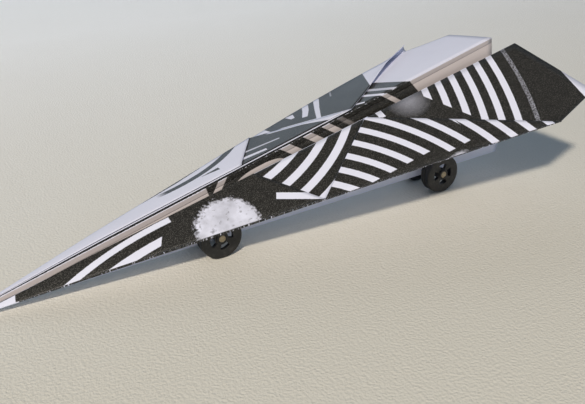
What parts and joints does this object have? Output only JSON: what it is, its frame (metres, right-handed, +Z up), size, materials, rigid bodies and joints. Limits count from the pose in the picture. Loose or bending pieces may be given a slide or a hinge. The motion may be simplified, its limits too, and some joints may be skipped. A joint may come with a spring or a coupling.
{
  "type": "paper airplane on wheels",
  "caption": "Slim folded-paper dart airplane printed in black and white stripes that rolls on small black wheels; its wings fold about the creases on top of the keel.",
  "frame": {"origin": "on the ground under the middle of the bounding box", "axes": "+Z up, -X towards the nose, -Y towards the left wing"},
  "size_m": [0.2898, 0.1118, 0.0695],
  "materials": {
    "paper": "white letter paper printed in dull black with curved stripes",
    "wheel_plastic": "black moulded plastic, satin",
    "axle_wood": "pale bare wood",
    "tube_plastic": "thin milky plastic"
  },
  "bodies": {
    "keel": {"left_keel_wall": "paper", "right_keel_wall": "paper", "front_axle_tube": "tube_plastic", "rear_axle_tube": "tube_plastic"},
    "left_wing": {"left_wing_base": "paper", "left_wing_lower_pleat": "paper", "left_wing_middle_pleat": "paper", "left_wing_tucked_corner": "paper", "left_wing_top_pleat": "paper"},
    "right_wing": {"right_wing_base": "paper", "right_wing_lower_pleat": "paper", "right_wing_middle_pleat": "paper", "right_wing_tucked_corner": "paper", "right_wing_top_pleat": "paper"},
    "front_wheels": {"front_axle": "axle_wood", "front_left_wheel": "wheel_plastic", "front_right_wheel": "wheel_plastic"},
    "rear_wheels": {"rear_axle": "axle_wood", "rear_left_wheel": "wheel_plastic", "rear_right_wheel": "wheel_plastic"}
  },
  "joints": [
    {"name": "left_wing_fold", "type": "hinge", "parent": "keel", "child": "left_wing", "pos_m": [-0.14627, -0.00258, 0.0006], "axis": [-0.9703, 0.0283, -0.2401], "range_deg": [-7, 72]},
    {"name": "right_wing_fold", "type": "hinge", "parent": "keel", "child": "right_wing", "pos_m": [-0.14627, -0.00258, 0.0006], "axis": [0.9703, 0.0283, 0.2401], "range_deg": [-28, 51]},
    {"name": "front_axle_spin", "type": "hinge", "parent": "keel", "child": "front_wheels", "pos_m": [-0.03957, -0.00258, 0.00975], "axis": [0, 1, 0], "continuous": true},
    {"name": "rear_axle_spin", "type": "hinge", "parent": "keel", "child": "rear_wheels", "pos_m": [0.08473, -0.00258, 0.00975], "axis": [0, 1, 0], "continuous": true}
  ]
}
